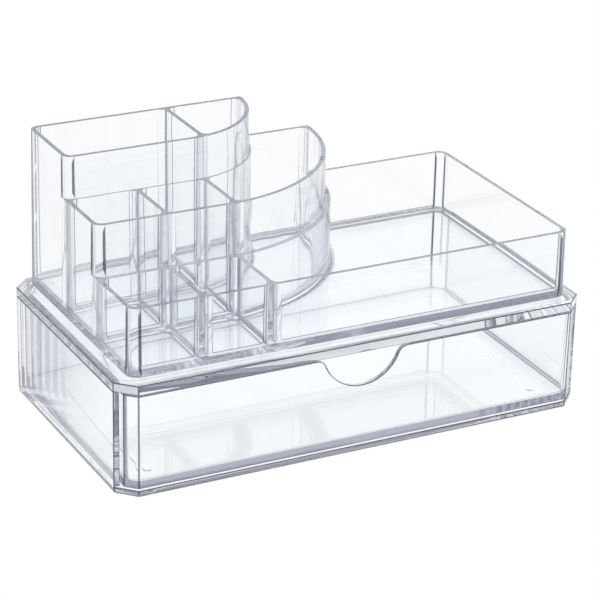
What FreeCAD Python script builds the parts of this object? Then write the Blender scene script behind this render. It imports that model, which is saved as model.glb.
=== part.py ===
import FreeCAD, Part
import math
import os
import Sketcher

# Clear desk organizer: a low case with one drawer, and a tiered tray that
# stands on the case and lifts off. Millimetres, +Z up, the front faces -Y.
# Origin: the middle of the case's footprint, at the table.

doc = FreeCAD.newDocument("desk_organizer")
sheet = doc.addObject("Spreadsheet::Sheet", "Sizes")
sheet.Label = "Sizes"

SIZES = [
    # The case: an eight-sided outline with three walls, open at the front.
    ("case_length", 238.0),
    ("case_width", 132.0),
    ("corner_cut", 8.5),
    ("case_wall", 3.0),
    ("case_floor", 3.5),
    ("case_wall_top", 50.0),
    ("foot_bevel", 1.0),
    ("runner_x", 100.0),
    ("runner_length", 104.0),
    ("runner_width", 4.0),
    ("runner_height", 0.8),
    # The lid of the case, bonded to the tops of the walls.
    ("bond_line", 0.1),
    ("lid_edge", 4.4),
    ("lid_rise", 1.0),
    ("lid_ledge", 6.4),
    # The drawer.
    ("drawer_gap", 0.4),
    ("drawer_lift", 0.1),
    ("drawer_wall", 2.3),
    ("drawer_floor", 2.6),
    ("drawer_corner", 3.0),
    ("drawer_cove", 2.0),
    ("notch_radius", 19.8),
    ("notch_above", 4.0),
    ("notch_shoulder", 5.0),
    # The tiered tray. Tier fronts and bends are placed on its base, and the
    # outer walls lean in above it by the draft.
    ("tray_seat_gap", 0.1),
    ("tray_length", 223.6),
    ("tray_width", 119.6),
    ("tray_draft", 0.7),
    ("tray_floor", 2.2),
    ("tray_wall", 2.1),
    ("tray_corner", 5.5),
    ("tier_end_round", 1.8),
    ("front_rim", 32.5),
    ("middle_rim", 57.0),
    ("rear_rim", 77.0),
    ("rear_front", 13.4),
    ("rear_bend_x", -48.0),
    ("middle_front", -21.2),
    ("middle_bend_x", -46.0),
    ("rear_ledge", 1.0),
    ("middle_ledge", 2.6),
    ("left_divider_x", -76.0),
    ("right_divider_x", -42.3),
    ("cup_draft", 0.5),
    ("cup_corner", 3.3),
    ("cup_cove", 2.4),
]

for row, (name, value) in enumerate(SIZES, start=1):
    sheet.set("A%d" % row, name)
    sheet.set("B%d" % row, str(value))
    sheet.setAlias("B%d" % row, name)
doc.recompute()


class Size:
    """A number together with the sheet formula that gives it."""

    def __init__(self, value, text):
        self.value = value
        self.text = text

    def _join(self, other, sign, value):
        text = other.text if isinstance(other, Size) else repr(float(other))
        return Size(value, "(%s %s %s)" % (self.text, sign, text))

    def __add__(self, other):
        return self._join(other, "+", self.value + number(other))

    def __sub__(self, other):
        return self._join(other, "-", self.value - number(other))

    def __mul__(self, other):
        return self._join(other, "*", self.value * number(other))

    def __truediv__(self, other):
        return self._join(other, "/", self.value / number(other))

    def __neg__(self):
        return self * -1

    def root(self):
        return Size(math.sqrt(self.value), "sqrt(%s)" % self.text)


def number(item):
    return item.value if isinstance(item, Size) else float(item)


def size(name):
    return Size(dict(SIZES)[name], "Sizes." + name)


def new_body(label, height):
    body = doc.addObject("PartDesign::Body", label)
    body.Label = label
    body.Placement.Base = FreeCAD.Vector(0, 0, number(height))
    body.setExpression("Placement.Base.z", height.text)
    return body


def new_sketch(body, name, height, role="XY_Plane"):
    sketch = body.newObject("Sketcher::SketchObject", name)
    plane = [item for item in body.Origin.OriginFeatures if item.Role == role][0]
    sketch.AttachmentSupport = (plane, "")
    sketch.MapMode = "FlatFace"
    sketch.AttachmentOffset = FreeCAD.Placement(
        FreeCAD.Vector(0, 0, number(height)), FreeCAD.Rotation())
    if isinstance(height, Size):
        sketch.setExpression("AttachmentOffset.Base.z", height.text)
    return sketch


def hold(sketch, kind, places, item):
    """Add one dimension, tied to its formula when it has one."""
    index = sketch.addConstraint(Sketcher.Constraint(kind, *places, number(item)))
    sketch.setExpression("Constraints[%d]" % index, item.text)


def draw_loop(sketch, corners, bends=None):
    """Draw a closed loop through corners, each (x, y).

    A coordinate that is a Size is held there; a plain number is only where the
    drawing starts, and the bend that ends there settles it. bends gives
    (centre x, centre y, radius) for each side that is an arc.
    """
    bends = bends or {}
    ends = []
    count = len(corners)
    for side, (x, y) in enumerate(corners):
        start = FreeCAD.Vector(number(x), number(y), 0)
        next_x, next_y = corners[(side + 1) % count]
        finish = FreeCAD.Vector(number(next_x), number(next_y), 0)
        if side not in bends:
            index = sketch.addGeometry(Part.LineSegment(start, finish), False)
            ends.append((index, 1, 2))
            continue
        centre_x, centre_y, radius = bends[side]
        centre = FreeCAD.Vector(number(centre_x), number(centre_y), 0)
        first = math.atan2(start.y - centre.y, start.x - centre.x)
        last = math.atan2(finish.y - centre.y, finish.x - centre.x)
        turn = (last - first) % (2 * math.pi)
        circle = Part.Circle(centre, FreeCAD.Vector(0, 0, 1), number(radius))
        forward = turn < math.pi
        angles = (first, last) if forward else (last, first)
        index = sketch.addGeometry(Part.ArcOfCircle(circle, *angles), False)
        ends.append((index, 1, 2) if forward else (index, 2, 1))
        if isinstance(centre_x, Size):
            hold(sketch, "DistanceX", (index, 3), centre_x)
        hold(sketch, "DistanceY", (index, 3), centre_y)
        hold(sketch, "Radius", (index,), radius)
    for side in range(count):
        before = ends[side - 1]
        after = ends[side]
        sketch.addConstraint(Sketcher.Constraint(
            "Coincident", before[0], before[2], after[0], after[1]))
        x, y = corners[side]
        if isinstance(x, Size):
            hold(sketch, "DistanceX", (after[0], after[1]), x)
        if isinstance(y, Size):
            hold(sketch, "DistanceY", (after[0], after[1]), y)


def add_feature(body, kind, name, sketch, length, draft=None):
    """Pad or pocket a sketch, with an optional draft angle in degrees."""
    feature = body.newObject("PartDesign::" + kind, name)
    feature.Profile = sketch
    feature.Type = "Length"
    feature.Length = number(length)
    feature.setExpression("Length", length.text)
    if draft is not None:
        feature.TaperAngle = number(draft)
        feature.setExpression("TaperAngle", draft.text)
    doc.recompute()
    return feature


def round_edges(body, name, base, wanted, radius, kind="Fillet"):
    """Fillet or chamfer the edges of base that the test wanted picks."""
    names = ["Edge%d" % (index + 1)
             for index, edge in enumerate(base.Shape.Edges) if wanted(edge)]
    if not names:
        raise RuntimeError(name + " found no edges")
    feature = body.newObject("PartDesign::" + kind, name)
    feature.Base = (base, names)
    prop = "Radius" if kind == "Fillet" else "Size"
    setattr(feature, prop, number(radius))
    feature.setExpression(prop, radius.text)
    doc.recompute()
    return feature


def box_of(edge):
    return edge.BoundBox


def upright(edge):
    """True for an edge that climbs far more than it moves sideways."""
    if len(edge.Vertexes) != 2:
        return False
    step = edge.Vertexes[1].Point - edge.Vertexes[0].Point
    return abs(step.z) > 5 and math.hypot(step.x, step.y) < 0.1 * abs(step.z)


def level(edge, height):
    return abs(box_of(edge).ZMin - height) < 0.02 and abs(box_of(edge).ZMax - height) < 0.02


def eight_sided(half_x, half_y, cut):
    return [
        (half_x - cut, -half_y), (half_x, cut - half_y),
        (half_x, half_y - cut), (half_x - cut, half_y),
        (cut - half_x, half_y), (-half_x, half_y - cut),
        (-half_x, cut - half_y), (cut - half_x, -half_y),
    ]


def flat_height():
    return Size(0.0, "0.0 mm")


# Where an inward step of one millimetre leaves a 45 degree corner cut shorter.
CUT_PER_STEP = 2 - math.sqrt(2)

half_length = size("case_length") / 2
half_width = size("case_width") / 2
corner_cut = size("corner_cut")


def make_case_body():
    body = new_body("case_body", flat_height())
    outline = new_sketch(body, "case_outline", 0.0)
    draw_loop(outline, eight_sided(half_length, half_width, corner_cut))
    block = add_feature(body, "Pad", "case_block", outline, size("case_wall_top"))

    wall = size("case_wall")
    inner_x = half_length - wall
    inner_y = half_width - wall
    inner_cut = corner_cut - wall * CUT_PER_STEP
    wall_front = corner_cut - half_width
    past_x = half_length + 2
    past_y = -half_width - 2
    room = new_sketch(body, "case_room_outline", size("case_wall_top"))
    draw_loop(room, [
        (past_x, past_y), (past_x, wall_front), (inner_x, wall_front),
        (inner_x, inner_y - inner_cut), (inner_x - inner_cut, inner_y),
        (inner_cut - inner_x, inner_y), (-inner_x, inner_y - inner_cut),
        (-inner_x, wall_front), (-past_x, wall_front), (-past_x, past_y),
    ])
    depth = size("case_wall_top") - size("case_floor")
    add_feature(body, "Pocket", "case_room", room, depth)

    runners = new_sketch(body, "runner_outline", size("case_floor"))
    radius = size("runner_width") / 2
    reach = size("runner_length") / 2 - radius
    for side in (-1, 1):
        middle = size("runner_x") * side
        left = middle - radius
        right = middle + radius
        add_slot(runners, left, right, middle, reach, radius)
    top = add_feature(body, "Pad", "runners", runners, size("runner_height"))

    def foot_edge(edge):
        return level(edge, 0.0)

    body.Tip = round_edges(body, "foot_edge", top, foot_edge, size("foot_bevel"), "Chamfer")
    return body


def add_slot(sketch, left, right, middle, reach, radius):
    """A long slot along Y with half-round ends."""
    first = sketch.GeometryCount
    low = Part.Circle(FreeCAD.Vector(number(middle), -number(reach), 0),
                      FreeCAD.Vector(0, 0, 1), number(radius))
    high = Part.Circle(FreeCAD.Vector(number(middle), number(reach), 0),
                       FreeCAD.Vector(0, 0, 1), number(radius))
    points = [FreeCAD.Vector(number(x), number(y), 0)
              for x, y in ((right, -reach), (right, reach), (left, reach), (left, -reach))]
    sketch.addGeometry(Part.LineSegment(points[0], points[1]), False)
    sketch.addGeometry(Part.ArcOfCircle(high, 0, math.pi), False)
    sketch.addGeometry(Part.LineSegment(points[2], points[3]), False)
    sketch.addGeometry(Part.ArcOfCircle(low, math.pi, 2 * math.pi), False)
    for side in range(4):
        here = first + side
        after = first + (side + 1) % 4
        sketch.addConstraint(Sketcher.Constraint("Tangent", here, 2, after, 1))
    hold(sketch, "Radius", (first + 1,), radius)
    hold(sketch, "DistanceX", (first + 1, 3), middle)
    hold(sketch, "DistanceY", (first + 1, 3), reach)
    hold(sketch, "Radius", (first + 3,), radius)
    hold(sketch, "DistanceX", (first + 3, 3), middle)
    hold(sketch, "DistanceY", (first + 3, 3), -reach)


def make_case_lid():
    body = new_body("case_lid", size("case_wall_top") + size("bond_line"))
    outline = new_sketch(body, "lid_outline", 0.0)
    draw_loop(outline, eight_sided(half_length, half_width, corner_cut))
    slab = add_feature(body, "Pad", "lid_slab", outline, size("lid_edge"))
    ledge = size("lid_ledge")
    lower = new_sketch(body, "lid_ledge_outer", size("lid_edge"))
    draw_loop(lower, eight_sided(half_length, half_width, corner_cut))
    upper = new_sketch(body, "lid_ledge_inner", size("lid_edge") + size("lid_rise"))
    draw_loop(upper, eight_sided(half_length - ledge, half_width - ledge,
                                 corner_cut - ledge * CUT_PER_STEP))
    doc.recompute()
    slope = body.newObject("PartDesign::AdditiveLoft", "lid_ledge_slope")
    slope.Profile = lower
    slope.Sections = [(upper, [""])]
    slope.Ruled = True
    doc.recompute()
    body.Tip = slope
    return body


def make_drawer():
    base = size("case_floor") + size("runner_height") + size("drawer_lift")
    body = new_body("drawer", base)
    tall = size("case_wall_top") - size("drawer_gap") - base
    step = size("case_wall") + size("drawer_gap")
    half_x = half_length - step
    back_y = half_width - step
    back_cut = corner_cut - step * CUT_PER_STEP
    front_cut = corner_cut - step
    outline = new_sketch(body, "drawer_outline", 0.0)
    draw_loop(outline, [
        (half_x - front_cut, -half_width), (half_x, front_cut - half_width),
        (half_x, back_y - back_cut), (half_x - back_cut, back_y),
        (back_cut - half_x, back_y), (-half_x, back_y - back_cut),
        (-half_x, front_cut - half_width), (front_cut - half_x, -half_width),
    ])
    add_feature(body, "Pad", "drawer_block", outline, tall)

    wall = size("drawer_wall")
    in_x = half_x - wall
    in_back = back_y - wall
    in_front = wall - half_width
    in_cut = front_cut - wall * CUT_PER_STEP
    in_back_cut = back_cut - wall * CUT_PER_STEP
    room = new_sketch(body, "drawer_room_outline", tall)
    draw_loop(room, [
        (in_x - in_cut, in_front), (in_x, in_cut + in_front),
        (in_x, in_back - in_back_cut), (in_x - in_back_cut, in_back),
        (in_back_cut - in_x, in_back), (-in_x, in_back - in_back_cut),
        (-in_x, in_cut + in_front), (in_cut - in_x, in_front),
    ])
    hollow = add_feature(body, "Pocket", "drawer_room", room, tall - size("drawer_floor"),
                         -size("cup_draft"))
    floor = number(size("drawer_floor"))

    def inner_corner(edge):
        return upright(edge) and abs(box_of(edge).ZMin - floor) < 0.05

    corners = round_edges(body, "drawer_corners", hollow, inner_corner, size("drawer_corner"))

    def floor_edge(edge):
        return level(edge, floor)

    cove = round_edges(body, "drawer_cove", corners, floor_edge, size("drawer_cove"))

    bite = new_sketch(body, "finger_notch_outline", half_width, "XZ_Plane")
    circle = Part.Circle(FreeCAD.Vector(0, number(tall + size("notch_above")), 0),
                         FreeCAD.Vector(0, 0, 1), number(size("notch_radius")))
    bite.addGeometry(circle, False)
    bite.addConstraint(Sketcher.Constraint("PointOnObject", 0, 3, -2))
    hold(bite, "DistanceY", (0, 3), tall + size("notch_above"))
    hold(bite, "Radius", (0,), size("notch_radius"))
    notch = add_feature(body, "Pocket", "finger_notch", bite, wall * 2)
    top = number(tall)

    def shoulder(edge):
        limits = box_of(edge)
        across = limits.XMax - limits.XMin < 0.01 and abs(limits.ZMax - top) < 0.01
        return across and abs(abs(limits.XMin) - number(size("notch_radius"))) < 1.0

    body.Tip = round_edges(body, "notch_shoulders", notch, shoulder, size("notch_shoulder"))
    return body


def turn_at(x, y, toward_x, toward_y, radius):
    """Round a corner: the two ends as Sizes held one way, and the arc's centre."""
    centre_x = x + radius * toward_x
    centre_y = y + radius * toward_y
    return (centre_x, number(y)), (number(x), centre_y), (centre_x, centre_y, radius)


def tray_outline(body):
    half_x = size("tray_length") / 2
    half_y = size("tray_width") / 2
    radius = size("tray_corner")
    sketch = new_sketch(body, "tray_outline", 0.0)
    corners = []
    bends = {}
    for x, y, toward_x, toward_y in (
            (half_x, -half_y, -1, 1), (half_x, half_y, -1, -1),
            (-half_x, half_y, 1, -1), (-half_x, -half_y, 1, 1)):
        on_long, on_short, bend = turn_at(x, y, toward_x, toward_y, radius)
        bends[len(corners)] = bend
        corners += [on_long, on_short] if toward_x * toward_y < 0 else [on_short, on_long]
    draw_loop(sketch, corners, bends)
    return sketch


def tier_outline(body, name, front, bend_x):
    """One tier's outline: straight along the front, then round to the back.

    A small arc, touching the large one from inside, rounds the far end.
    """
    half_x = size("tray_length") / 2
    back = size("tray_width") / 2
    radius = back - front
    sketch = new_sketch(body, name, 0.0)
    rear_long, rear_short, rear_bend = turn_at(-half_x, back, 1, -1, size("tray_corner"))
    near_long, near_short, near_bend = turn_at(-half_x, front, 1, 1, size("tray_corner"))
    small = size("tier_end_round")
    inner = radius - small
    end_x = bend_x + (inner * inner - small * small).root()
    meet_y = back - small * radius / inner
    meet_x = number(bend_x) + number((end_x - bend_x) * radius / inner)
    draw_loop(sketch, [
        rear_long, rear_short, near_short, near_long, (bend_x, number(front)),
        (meet_x, meet_y), (end_x, number(back)),
    ], {0: rear_bend, 2: near_bend, 4: (bend_x, back, radius),
        5: (number(end_x), back - small, small)})
    return sketch


def arc_reach(centre_x, centre_y, radius, along_x=None, along_y=None):
    """Where an arc, in the quarter right of and below its centre, meets a line."""
    if along_x is not None:
        run = number(along_x) - number(centre_x)
        return number(centre_y) - math.sqrt(number(radius) ** 2 - run ** 2)
    rise = number(centre_y) - number(along_y)
    return number(centre_x) + math.sqrt(number(radius) ** 2 - rise ** 2)


def rectangle(x0, x1, y0, y1):
    return [(x0, y0), (x1, y0), (x1, y1), (x0, y1)]


def make_tiered_tray():
    lid_top = size("case_wall_top") + size("bond_line") + size("lid_edge") + size("lid_rise")
    seat = lid_top + size("tray_seat_gap")
    body = new_body("tiered_tray", seat)
    draft = -size("tray_draft")
    add_feature(body, "Pad", "tray_block", tray_outline(body), size("front_rim"), draft)
    middle = tier_outline(body, "middle_outline", size("middle_front"), size("middle_bend_x"))
    add_feature(body, "Pad", "middle_block", middle, size("middle_rim"), draft)
    rear = tier_outline(body, "rear_outline", size("rear_front"), size("rear_bend_x"))
    add_feature(body, "Pad", "rear_block", rear, size("rear_rim"), draft)
    hollow = hollow_tiers(body)
    floor = number(size("tray_floor"))

    def cup_corner(edge):
        return upright(edge) and abs(box_of(edge).ZMin - floor) < 0.05

    corners = round_edges(body, "cup_corners", hollow, cup_corner, size("cup_corner"))

    def cup_floor(edge):
        return level(edge, floor)

    coves = round_edges(body, "cup_coves", corners, cup_floor, size("cup_cove"))
    body.Tip = coves
    return body


def rim_inset(rim):
    """How far the draft has brought the outer walls in at a rim."""
    draft = size("tray_draft")
    lean = Size(math.tan(math.radians(draft.value)), "tan(%s * 1 deg)" % draft.text)
    return rim * lean


def hollow_tiers(body):
    """The eight cups, cut down from each tier's rim to the floor."""
    wall = size("tray_wall")
    half_wall = wall / 2
    half_x = size("tray_length") / 2
    half_y = size("tray_width") / 2
    left_divider = size("left_divider_x")
    right_divider = size("right_divider_x")
    rear_radius = half_y - size("rear_front")
    middle_radius = half_y - size("middle_front")

    rim = size("rear_rim")
    inset = rim_inset(rim) + wall
    left = inset - half_x
    back = half_y - inset
    front = size("rear_front") + inset
    bend = (size("rear_bend_x"), half_y, rear_radius - inset)
    rear = new_sketch(body, "rear_cups_outline", rim)
    draw_loop(rear, rectangle(left, right_divider - half_wall, front, back))
    side = right_divider + half_wall
    draw_loop(rear, [
        (side, arc_reach(*bend, along_x=side)), (arc_reach(*bend, along_y=back), back),
        (side, back),
    ], {0: bend})
    add_feature(body, "Pocket", "rear_cups", rear, rim - size("tray_floor"), -size("cup_draft"))

    rim = size("middle_rim")
    inset = rim_inset(rim) + wall
    left = inset - half_x
    back = half_y - inset
    front = size("middle_front") + inset
    ledge = size("rear_ledge") - rim_inset(rim)
    inner_bend = (size("rear_bend_x"), half_y, rear_radius + ledge)
    inner_front = size("rear_front") - ledge
    outer_bend = (size("middle_bend_x"), half_y, middle_radius - inset)
    cups = new_sketch(body, "middle_cups_outline", rim)
    draw_loop(cups, rectangle(left, left_divider - half_wall, front, inner_front))
    draw_loop(cups, rectangle(left_divider + half_wall, right_divider - half_wall,
                              front, inner_front))
    draw_loop(cups, [
        (side, arc_reach(*outer_bend, along_x=side)),
        (arc_reach(*outer_bend, along_y=back), back),
        (arc_reach(*inner_bend, along_y=back), back),
        (side, arc_reach(*inner_bend, along_x=side)),
    ], {0: outer_bend, 2: inner_bend})
    add_feature(body, "Pocket", "middle_cups", cups, rim - size("tray_floor"),
                -size("cup_draft"))

    rim = size("front_rim")
    inset = rim_inset(rim) + wall
    left = inset - half_x
    right = half_x - inset
    back = half_y - inset
    front = inset - half_y
    ledge = size("middle_ledge") - rim_inset(rim)
    bend = (size("middle_bend_x"), half_y, middle_radius + ledge)
    cups_back = size("middle_front") - ledge
    tray = new_sketch(body, "front_cups_outline", rim)
    draw_loop(tray, rectangle(left, left_divider - half_wall, front, cups_back))
    draw_loop(tray, rectangle(left_divider + half_wall, right_divider - half_wall,
                              front, cups_back))
    draw_loop(tray, [
        (side, front), (right, front), (right, back),
        (arc_reach(*bend, along_y=back), back), (side, arc_reach(*bend, along_x=side)),
    ], {3: bend})
    return add_feature(body, "Pocket", "front_cups", tray, rim - size("tray_floor"),
                       -size("cup_draft"))


pieces = [make_case_body(), make_case_lid(), make_drawer(), make_tiered_tray()]
doc.recompute()

for item in doc.Objects:
    if "Invalid" in item.State or "Error" in item.State:
        raise RuntimeError("%s failed: %s" % (item.Name, item.State))

os.makedirs("parts", exist_ok=True)
for piece in pieces:
    shape = piece.Shape
    if shape.isNull() or not shape.isValid() or len(shape.Solids) != 1:
        raise RuntimeError(piece.Label + " is not one good solid")
    shape.exportStep("parts/%s.step" % piece.Label)
    limits = shape.BoundBox
    print("%s: %.1f cm3, x %.1f..%.1f, y %.1f..%.1f, z %.1f..%.1f" % (
        piece.Label, shape.Volume / 1000, limits.XMin, limits.XMax,
        limits.YMin, limits.YMax, limits.ZMin, limits.ZMax))
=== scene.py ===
import math

import bmesh
import bpy
from mathutils import Matrix, Vector


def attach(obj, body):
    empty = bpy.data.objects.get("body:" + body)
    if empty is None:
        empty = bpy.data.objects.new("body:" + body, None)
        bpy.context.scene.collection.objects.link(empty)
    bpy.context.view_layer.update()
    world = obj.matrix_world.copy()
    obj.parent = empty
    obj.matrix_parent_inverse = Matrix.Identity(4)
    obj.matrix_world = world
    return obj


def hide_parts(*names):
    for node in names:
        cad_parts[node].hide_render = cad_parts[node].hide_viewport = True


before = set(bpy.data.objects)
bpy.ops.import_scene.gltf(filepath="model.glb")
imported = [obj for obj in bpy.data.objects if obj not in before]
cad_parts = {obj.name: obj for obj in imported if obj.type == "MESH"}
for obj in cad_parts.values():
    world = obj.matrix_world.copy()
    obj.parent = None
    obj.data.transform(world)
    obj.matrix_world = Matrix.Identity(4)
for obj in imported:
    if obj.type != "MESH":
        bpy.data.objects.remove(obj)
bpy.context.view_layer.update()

bl_info = {
    "name": "Clear desk organizer",
    "version": (1, 0, 0),
    "blender": (4, 5, 0),
    "location": "View3D > Sidebar > Organizer",
    "description": "Dresses the clear desk organizer and lights it",
    "category": "Object",
}


# Name of the face mask that holds how deep the painted edge shade lies on each face.
EDGE_MASK = "painted_edge_shade_mask"

# The moulding's slow waves: their height in metres, and the noise they follow.
RIPPLE_HEIGHT = 0.001
RIPPLE_DETAIL = 1.0
RIPPLE_ROUGHNESS = 0.35

# Lengths in metres that tell the faces apart: points this near are one, rims
# and wall ends are under RIM_WIDTH, strips of a corner's turn are under
# CORNER_WIDTH, and a face over BROAD_WIDTH is a wall or a floor.
WELD = 0.000002
RIM_WIDTH = 0.0032
CORNER_WIDTH = 0.0018
BROAD_WIDTH = 0.0050

# The side of a floor rib is under RIB_HEIGHT tall and ends below RIB_TOP.
RIB_HEIGHT = 0.001
RIB_TOP = 0.005

# Faces nearer than FLAT_ANGLE are one face, edges over SHARP_ANGLE are rounded
# off, and shading breaks over HARD_ANGLE. UPRIGHT_SLOPE is a normal's upward
# part, under which a face counts as upright.
FLAT_ANGLE = math.radians(0.4)
SHARP_ANGLE = math.radians(38)
HARD_ANGLE = math.radians(55)
UPRIGHT_SLOPE = 0.5
EDGE_SEGMENTS = 2
ROUND_PROFILE = 0.5

# The studio is white up to WHITE_TOP and at its overhead grey from GREY_START,
# as the sine of the angle above the table. CEILING_BLUE cools that grey.
WHITE_TOP = 0.6
GREY_START = 0.9
CEILING_BLUE = 1.1
TABLE_DROP = 0.0004

# The camera's sensor in millimetres and its nearest and furthest sight in metres.
SENSOR_WIDTH = 36.0
NEAR_SIGHT = 0.01
FAR_SIGHT = 50.0

# How often light may pass, turn or reflect inside the walls.
PASS_BOUNCES = 64
GLOSSY_BOUNCES = 48


class OrganizerPlastic(bpy.types.PropertyGroup):
    """The clear moulding plastic."""

    tint: bpy.props.FloatVectorProperty(
        name="Tint", description="Colour that each surface adds", size=3,
        subtype="COLOR", default=(0.982, 0.992, 0.996), min=0, max=1)
    bend: bpy.props.FloatProperty(
        name="Refraction", description="How strongly the plastic bends light",
        default=1.5, min=1, max=2)
    polish: bpy.props.FloatProperty(
        name="Roughness", description="Roughness of the polished faces",
        default=0.0, min=0, max=1)
    depth_tint: bpy.props.FloatVectorProperty(
        name="Depth tint", description="Colour that a thick piece turns to", size=3,
        subtype="COLOR", default=(0.62, 0.64, 0.74), min=0, max=1)
    # Painted glow: a flat lilac-grey light that the plastic gives off in place of light
    # trapped in its walls.
    painted_glow: bpy.props.FloatVectorProperty(
        name="Trapped light", description="Glow of light that stays in the plastic",
        size=3, subtype="COLOR", default=(0.36, 0.37, 0.44), min=0, max=1)
    # Painted shade: a near-black colour that rounded edges, rims and inside corners take
    # into their base colour, where clear edges show dark.
    painted_edge_shade: bpy.props.FloatVectorProperty(
        name="Edge tint", description="Colour of the rounded edges", size=3,
        subtype="COLOR", default=(0.035, 0.042, 0.065), min=0, max=1)
    edge_round: bpy.props.FloatProperty(
        name="Edge rounding", description="How far the edges are rounded off",
        default=0.00040, min=0, subtype="DISTANCE", unit="LENGTH")
    ripple_size: bpy.props.FloatProperty(
        name="Ripple scale", description="Waves per metre", default=28.0, min=1)


def ripple_value(default):
    return bpy.props.FloatProperty(
        name="Ripple", description="Depth of the moulding's slow waves",
        default=default, min=0, max=1)


def depth_value(default):
    return bpy.props.FloatProperty(
        name="Depth strength", description="How fast the plastic takes on its depth tint",
        default=default, min=0)


# Painted glow: the share of a surface that turns to the glow with each glossy bounce.
def glow_per_turn_value(default):
    return bpy.props.FloatProperty(
        name="Turn loss", description="Light lost each time it turns inside a wall",
        default=default, min=0, max=1)


def rim_value(default):
    return bpy.props.FloatProperty(
        name="Rim shade", description="How much edge tint the rims and wall ends take",
        default=default, min=0, max=1)


def corner_value(default):
    return bpy.props.FloatProperty(
        name="Corner shade", description="How much edge tint the inside corners take",
        default=default, min=0, max=1)


class OrganizerCaseFinishAndPaintedLight(bpy.types.PropertyGroup):
    """How the case body takes the clear plastic, with its painted edge shade and painted
    glow.
    """

    ripple: ripple_value(0.04)
    depth_strength: depth_value(5.0)
    glow_per_turn: glow_per_turn_value(0.004)
    rim_shade: rim_value(0.3)
    corner_shade: corner_value(0.15)


class OrganizerLidFinishAndPaintedLight(bpy.types.PropertyGroup):
    """How the lid takes the clear plastic, with its painted edge shade and painted glow."""

    ripple: ripple_value(0.04)
    depth_strength: depth_value(3.0)
    glow_per_turn: glow_per_turn_value(0.0015)
    rim_shade: rim_value(0.3)
    corner_shade: corner_value(0.0)


class OrganizerDrawerFinishAndPaintedLight(bpy.types.PropertyGroup):
    """How the drawer takes the clear plastic, with its painted edge shade and painted glow.
    """

    ripple: ripple_value(0.04)
    depth_strength: depth_value(8.0)
    glow_per_turn: glow_per_turn_value(0.007)
    rim_shade: rim_value(0.8)
    corner_shade: corner_value(0.15)


class OrganizerTrayFinishAndPaintedLight(bpy.types.PropertyGroup):
    """How the tiered tray takes the clear plastic, with its painted edge shade and painted
    glow.
    """

    ripple: ripple_value(0.12)
    depth_strength: depth_value(10.0)
    glow_per_turn: glow_per_turn_value(0.02)
    rim_shade: rim_value(0.6)
    corner_shade: corner_value(1.0)


class OrganizerStage(bpy.types.PropertyGroup):
    """The light table, the studio round it and the camera."""

    table_glow: bpy.props.FloatProperty(
        name="Table glow", description="Brightness of the light table",
        default=1.0, min=0)
    horizon_glow: bpy.props.FloatProperty(
        name="Horizon glow", description="Brightness of the studio at table height",
        default=1.15, min=0)
    ceiling_glow: bpy.props.FloatProperty(
        name="Ceiling glow", description="Brightness of the studio overhead",
        default=0.6, min=0)
    table_size: bpy.props.FloatProperty(
        name="Table size", description="Width of the light table",
        default=8.0, subtype="DISTANCE", unit="LENGTH")
    camera_place: bpy.props.FloatVectorProperty(
        name="Camera place", description="Where the camera stands", size=3,
        subtype="XYZ", unit="LENGTH", default=(-0.5205, -1.0052, 0.5437))
    azimuth: bpy.props.FloatProperty(
        name="Azimuth", description="Turn of the camera to the right",
        default=math.radians(-27.441), subtype="ANGLE", unit="ROTATION")
    elevation: bpy.props.FloatProperty(
        name="Elevation", description="How far the camera looks down",
        default=math.radians(23.586), subtype="ANGLE", unit="ROTATION")
    roll: bpy.props.FloatProperty(
        name="Roll", description="Tilt of the camera", default=math.radians(1.295),
        subtype="ANGLE", unit="ROTATION")
    lens: bpy.props.FloatProperty(
        name="Lens", description="Focal length", default=157.07, min=1)


def shader_group(name, sockets):
    """Start a shader node group, or hand back the one made before."""
    if name in bpy.data.node_groups:
        return bpy.data.node_groups[name], False
    group = bpy.data.node_groups.new(name, "ShaderNodeTree")
    for socket, direction, kind in sockets:
        group.interface.new_socket(socket, in_out=direction, socket_type=kind)
    return group, True


def moulding_ripple():
    """Slow waves that a clear moulding has on its faces."""
    group, fresh = shader_group("moulding_ripple", (
        ("Scale", "INPUT", "NodeSocketFloat"),
        ("Height", "OUTPUT", "NodeSocketFloat")))
    if not fresh:
        return group
    nodes = group.nodes
    links = group.links
    inputs = nodes.new("NodeGroupInput")
    outputs = nodes.new("NodeGroupOutput")
    place = nodes.new("ShaderNodeTexCoord")
    waves = nodes.new("ShaderNodeTexNoise")
    waves.inputs["Detail"].default_value = RIPPLE_DETAIL
    waves.inputs["Roughness"].default_value = RIPPLE_ROUGHNESS
    links.new(place.outputs["Object"], waves.inputs["Vector"])
    links.new(inputs.outputs["Scale"], waves.inputs["Scale"])
    links.new(waves.outputs["Fac"], outputs.inputs["Height"])
    return group


def colour_with_painted_shade():
    """The clear colour of the faces, with painted shade darkening it on rounded edges, rims
    and corners.
    """
    group, fresh = shader_group("colour_with_painted_shade", (
        ("Face", "INPUT", "NodeSocketColor"),
        ("Edge", "INPUT", "NodeSocketColor"),
        ("Colour", "OUTPUT", "NodeSocketColor")))
    if not fresh:
        return group
    nodes = group.nodes
    links = group.links
    inputs = nodes.new("NodeGroupInput")
    outputs = nodes.new("NodeGroupOutput")
    mask = nodes.new("ShaderNodeAttribute")
    mask.attribute_name = EDGE_MASK
    blend = nodes.new("ShaderNodeMix")
    blend.data_type = "RGBA"
    links.new(mask.outputs["Fac"], blend.inputs["Factor"])
    links.new(inputs.outputs["Face"], blend.inputs["A"])
    links.new(inputs.outputs["Edge"], blend.inputs["B"])
    links.new(blend.outputs["Result"], outputs.inputs["Colour"])
    return group


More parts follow.
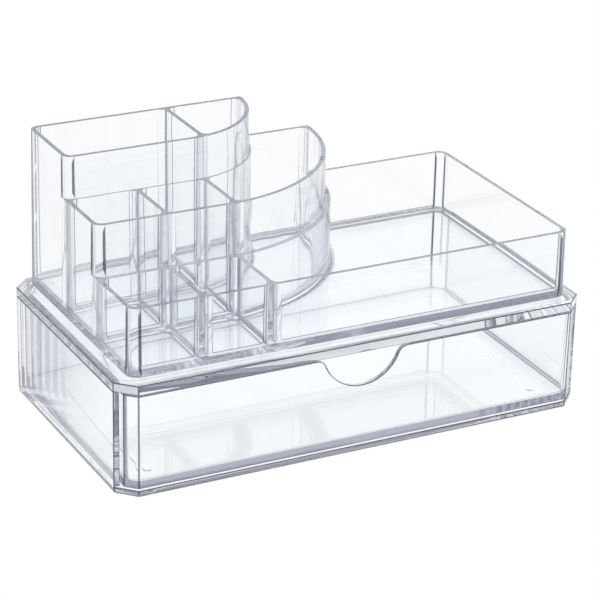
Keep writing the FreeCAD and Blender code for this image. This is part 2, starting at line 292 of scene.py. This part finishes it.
def clear_plastic(name, plastic, finish_and_painted_light):
    """Clear plastic: bent light, a tint that deepens with thickness, painted shade that
    darkens the edges, and a painted glow.
    """
    material = bpy.data.materials.new(name)
    material.use_nodes = True
    nodes = material.node_tree.nodes
    links = material.node_tree.links
    nodes.clear()
    output = nodes.new("ShaderNodeOutputMaterial")
    shader = nodes.new("ShaderNodeBsdfPrincipled")
    shader.inputs["Roughness"].default_value = plastic.polish
    shader.inputs["IOR"].default_value = plastic.bend
    shader.inputs["Transmission Weight"].default_value = 1.0

    # Painted shade: the base colour turns near-black on rounded edges, rims and corners, as
    # deep as the mask says.
    colour = nodes.new("ShaderNodeGroup")
    colour.node_tree = colour_with_painted_shade()
    colour.inputs["Face"].default_value = (*plastic.tint, 1.0)
    colour.inputs["Edge"].default_value = (*plastic.painted_edge_shade, 1.0)
    links.new(colour.outputs["Colour"], shader.inputs["Base Color"])

    ripple = nodes.new("ShaderNodeGroup")
    ripple.node_tree = moulding_ripple()
    ripple.inputs["Scale"].default_value = plastic.ripple_size
    bump = nodes.new("ShaderNodeBump")
    bump.inputs["Strength"].default_value = finish_and_painted_light.ripple
    bump.inputs["Distance"].default_value = RIPPLE_HEIGHT
    links.new(ripple.outputs["Height"], bump.inputs["Height"])
    links.new(bump.outputs["Normal"], shader.inputs["Normal"])

    path = nodes.new("ShaderNodeLightPath")
    through = nodes.new("ShaderNodeBsdfTransparent")
    through.inputs["Color"].default_value = (*plastic.tint, 1.0)
    lit = nodes.new("ShaderNodeMixShader")
    links.new(path.outputs["Is Shadow Ray"], lit.inputs["Fac"])
    links.new(shader.outputs["BSDF"], lit.inputs[1])
    links.new(through.outputs["BSDF"], lit.inputs[2])

    # Painted glow: with each glossy bounce a further share of the surface glows flat
    # lilac-grey, standing in for light trapped in the walls.
    painted_glow_emission = nodes.new("ShaderNodeEmission")
    painted_glow_emission.inputs["Color"].default_value = (*plastic.painted_glow, 1.0)
    loss = nodes.new("ShaderNodeMath")
    loss.operation = "MULTIPLY"
    loss.use_clamp = True
    loss.inputs[1].default_value = finish_and_painted_light.glow_per_turn
    painted_glow_mix = nodes.new("ShaderNodeMixShader")
    links.new(path.outputs["Glossy Depth"], loss.inputs[0])
    links.new(loss.outputs["Value"], painted_glow_mix.inputs["Fac"])
    links.new(lit.outputs["Shader"], painted_glow_mix.inputs[1])
    links.new(painted_glow_emission.outputs["Emission"], painted_glow_mix.inputs[2])
    links.new(painted_glow_mix.outputs["Shader"], output.inputs["Surface"])

    depth = nodes.new("ShaderNodeVolumeAbsorption")
    depth.inputs["Color"].default_value = (*plastic.depth_tint, 1.0)
    depth.inputs["Density"].default_value = finish_and_painted_light.depth_strength
    links.new(depth.outputs["Volume"], output.inputs["Volume"])
    return material


def face_width(face):
    """The width of a long strip, or about half the width of a square face."""
    return 2 * face.calc_area() / face.calc_perimeter()


def leaves_flat(face, other):
    """Whether a strip turns smoothly away from the broad flat beside it."""
    smooth = face.normal.angle(other.normal, math.pi) < SHARP_ANGLE
    return smooth and face_width(other) > BROAD_WIDTH


def edge_shade(face, finish_and_painted_light):
    """How deep the painted edge shade lies on a face, where the rounded edges are in slot 1.
    """
    if face.material_index:
        return 1.0
    width = face_width(face)
    beside = [other for edge in face.edges for other in edge.link_faces if other is not face]
    if width < RIM_WIDTH and sum(other.material_index for other in beside) > 1:
        return finish_and_painted_light.rim_shade
    if width < CORNER_WIDTH and any(leaves_flat(face, other) for other in beside):
        return finish_and_painted_light.corner_shade
    return 0.0


def low_step(face):
    """Whether a face is the side of a rib on the floor, too low to have rounded edges."""
    heights = [vertex.co.z for vertex in face.verts]
    low = max(heights) < RIB_TOP and max(heights) - min(heights) < RIB_HEIGHT
    return low and abs(face.normal.z) < UPRIGHT_SLOPE


def rounded_edges(mesh, plastic, finish_and_painted_light):
    """Weld the mesh, round off its outward edges and store each face's edge shade."""
    shape = bmesh.new()
    shape.from_mesh(mesh)
    bmesh.ops.remove_doubles(shape, verts=shape.verts, dist=WELD)
    bmesh.ops.dissolve_limit(
        shape, angle_limit=FLAT_ANGLE, verts=shape.verts, edges=shape.edges, delimit=set())
    outward = [
        edge for edge in shape.edges
        if edge.is_manifold and edge.calc_face_angle_signed() > SHARP_ANGLE
        and not any(low_step(face) for face in edge.link_faces)]
    bmesh.ops.bevel(
        shape, geom=outward, offset=plastic.edge_round, offset_type="OFFSET",
        segments=EDGE_SEGMENTS, profile=ROUND_PROFILE, affect="EDGES",
        clamp_overlap=True, material=1)
    # Each face stores its painted shade: full on rounded edges, rim_shade on rims and wall
    # ends, corner_shade on corner turns.
    mask = shape.faces.layers.float.new(EDGE_MASK)
    for face in shape.faces:
        face[mask] = edge_shade(face, finish_and_painted_light)
        face.smooth = True
    for face in shape.faces:
        face.material_index = 0
    for edge in shape.edges:
        edge.smooth = not (edge.is_manifold and edge.calc_face_angle() > HARD_ANGLE)
    shape.to_mesh(mesh)
    shape.free()


def polished_piece(name, node, body, finish_and_painted_light):
    """Stand a copy with rounded, polished edges in the place of a CAD node."""
    plastic = bpy.context.scene.organizer_plastic
    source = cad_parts[node]
    draft = bpy.data.objects.new(name + "_draft", source.data.copy())
    bpy.context.scene.collection.objects.link(draft)
    rounded_edges(draft.data, plastic, finish_and_painted_light)
    weigh = draft.modifiers.new("even_normals", "WEIGHTED_NORMAL")
    weigh.keep_sharp = True
    ready = draft.evaluated_get(bpy.context.evaluated_depsgraph_get())
    mesh = bpy.data.meshes.new_from_object(ready)
    mesh.name = name
    bpy.data.objects.remove(draft)
    piece = bpy.data.objects.new(name, mesh)
    piece.matrix_world = source.matrix_world.copy()
    bpy.context.scene.collection.objects.link(piece)
    mesh.materials.clear()
    mesh.materials.append(clear_plastic(name + "_plastic", plastic, finish_and_painted_light))
    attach(piece, body)
    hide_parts(node)


class OBJECT_OT_organizer_case(bpy.types.Operator):
    """Dress the case body and the lid bonded to it"""

    bl_idname = "object.organizer_case"
    bl_label = "Case"

    def execute(self, context):
        scene = context.scene
        polished_piece(
            "case_moulding", "case_body", "case", scene.organizer_case)
        polished_piece(
            "case_top_plate", "case_lid", "case", scene.organizer_lid)
        return {"FINISHED"}


class OBJECT_OT_organizer_drawer(bpy.types.Operator):
    """Dress the drawer"""

    bl_idname = "object.organizer_drawer"
    bl_label = "Drawer"

    def execute(self, context):
        polished_piece(
            "drawer_moulding", "drawer", "drawer",
            context.scene.organizer_drawer)
        return {"FINISHED"}


class OBJECT_OT_organizer_tray(bpy.types.Operator):
    """Dress the tiered tray"""

    bl_idname = "object.organizer_tray"
    bl_label = "Tiered tray"

    def execute(self, context):
        polished_piece(
            "tray_moulding", "tiered_tray", "tray",
            context.scene.organizer_tray)
        return {"FINISHED"}


def studio_world(stage):
    """White at table height and darker overhead, so clear edges read as lines."""
    world = bpy.data.worlds.new("studio")
    world.use_nodes = True
    nodes = world.node_tree.nodes
    links = world.node_tree.links
    nodes.clear()
    output = nodes.new("ShaderNodeOutputWorld")
    background = nodes.new("ShaderNodeBackground")
    place = nodes.new("ShaderNodeTexCoord")
    split = nodes.new("ShaderNodeSeparateXYZ")
    ramp = nodes.new("ShaderNodeValToRGB")
    low, high = ramp.color_ramp.elements
    low.position = WHITE_TOP
    low.color = (stage.horizon_glow,) * 3 + (1.0,)
    high.position = GREY_START
    high.color = (
        stage.ceiling_glow, stage.ceiling_glow, stage.ceiling_glow * CEILING_BLUE, 1.0)
    links.new(place.outputs["Generated"], split.inputs["Vector"])
    links.new(split.outputs["Z"], ramp.inputs["Fac"])
    links.new(ramp.outputs["Color"], background.inputs["Color"])
    links.new(background.outputs["Background"], output.inputs["Surface"])
    bpy.context.scene.world = world


def light_table(stage):
    """A plain glowing table, just under the case."""
    half = stage.table_size / 2
    mesh = bpy.data.meshes.new("light_table")
    corners = [(-half, -half, 0), (half, -half, 0), (half, half, 0), (-half, half, 0)]
    mesh.from_pydata([Vector(corner) for corner in corners], [], [(0, 1, 2, 3)])
    table = bpy.data.objects.new("light_table", mesh)
    table.location.z = -TABLE_DROP
    bpy.context.scene.collection.objects.link(table)
    material = bpy.data.materials.new("light_table")
    material.use_nodes = True
    nodes = material.node_tree.nodes
    nodes.clear()
    output = nodes.new("ShaderNodeOutputMaterial")
    glow = nodes.new("ShaderNodeEmission")
    glow.inputs["Strength"].default_value = stage.table_glow
    material.node_tree.links.new(glow.outputs["Emission"], output.inputs["Surface"])
    mesh.materials.append(material)


def studio_camera(stage):
    """The camera, turned by azimuth and elevation and tilted by roll."""
    camera_data = bpy.data.cameras.new("studio_camera")
    camera_data.lens = stage.lens
    camera_data.sensor_width = SENSOR_WIDTH
    camera_data.clip_start = NEAR_SIGHT
    camera_data.clip_end = FAR_SIGHT
    camera = bpy.data.objects.new("studio_camera", camera_data)
    backward = Vector((
        math.sin(stage.azimuth) * math.cos(stage.elevation),
        -math.cos(stage.azimuth) * math.cos(stage.elevation),
        math.sin(stage.elevation)))
    level_right = (-backward).cross(Vector((0, 0, 1))).normalized()
    level_up = level_right.cross(-backward)
    right = math.cos(stage.roll) * level_right + math.sin(stage.roll) * level_up
    up = -math.sin(stage.roll) * level_right + math.cos(stage.roll) * level_up
    turn = Matrix((right, up, backward)).transposed().to_4x4()
    camera.matrix_world = Matrix.Translation(Vector(stage.camera_place)) @ turn
    bpy.context.scene.collection.objects.link(camera)
    bpy.context.scene.camera = camera


class OBJECT_OT_organizer_stage(bpy.types.Operator):
    """Lay out the light table, the studio and the camera"""

    bl_idname = "object.organizer_stage"
    bl_label = "Stage"

    def execute(self, context):
        stage = context.scene.organizer_stage
        light_table(stage)
        studio_world(stage)
        studio_camera(stage)
        view = context.scene.view_settings
        view.view_transform = "Standard"
        cycles = context.scene.cycles
        cycles.max_bounces = PASS_BOUNCES
        cycles.transmission_bounces = PASS_BOUNCES
        cycles.glossy_bounces = GLOSSY_BOUNCES
        cycles.transparent_max_bounces = PASS_BOUNCES
        return {"FINISHED"}


class VIEW3D_PT_organizer(bpy.types.Panel):
    """Lists the organizer's pieces and its stage"""

    bl_label = "Organizer"
    bl_idname = "VIEW3D_PT_organizer"
    bl_space_type = "VIEW_3D"
    bl_region_type = "UI"
    bl_category = "Organizer"

    def draw(self, context):
        for group_name, group_type in GROUPS.items():
            box = self.layout.box()
            box.label(text=group_type.__doc__)
            for name in group_type.__annotations__:
                box.prop(getattr(context.scene, group_name), name)
        for step in STEPS:
            self.layout.operator(step.bl_idname)


STEPS = (
    OBJECT_OT_organizer_case,
    OBJECT_OT_organizer_drawer,
    OBJECT_OT_organizer_tray,
    OBJECT_OT_organizer_stage,
)
GROUPS = {
    "organizer_plastic": OrganizerPlastic,
    "organizer_case": OrganizerCaseFinishAndPaintedLight,
    "organizer_lid": OrganizerLidFinishAndPaintedLight,
    "organizer_drawer": OrganizerDrawerFinishAndPaintedLight,
    "organizer_tray": OrganizerTrayFinishAndPaintedLight,
    "organizer_stage": OrganizerStage,
}


def register():
    for group_name, group_type in GROUPS.items():
        bpy.utils.register_class(group_type)
        setattr(bpy.types.Scene, group_name, bpy.props.PointerProperty(type=group_type))
    for item in STEPS + (VIEW3D_PT_organizer,):
        bpy.utils.register_class(item)


def unregister():
    for item in reversed(STEPS + (VIEW3D_PT_organizer,)):
        bpy.utils.unregister_class(item)
    for group_name, group_type in reversed(GROUPS.items()):
        delattr(bpy.types.Scene, group_name)
        bpy.utils.unregister_class(group_type)


def main():
    """Register the classes and run each step in order."""
    register()
    for step in STEPS:
        category, name = step.bl_idname.split(".")
        getattr(getattr(bpy.ops, category), name)()


if __name__ == "__main__":
    main()
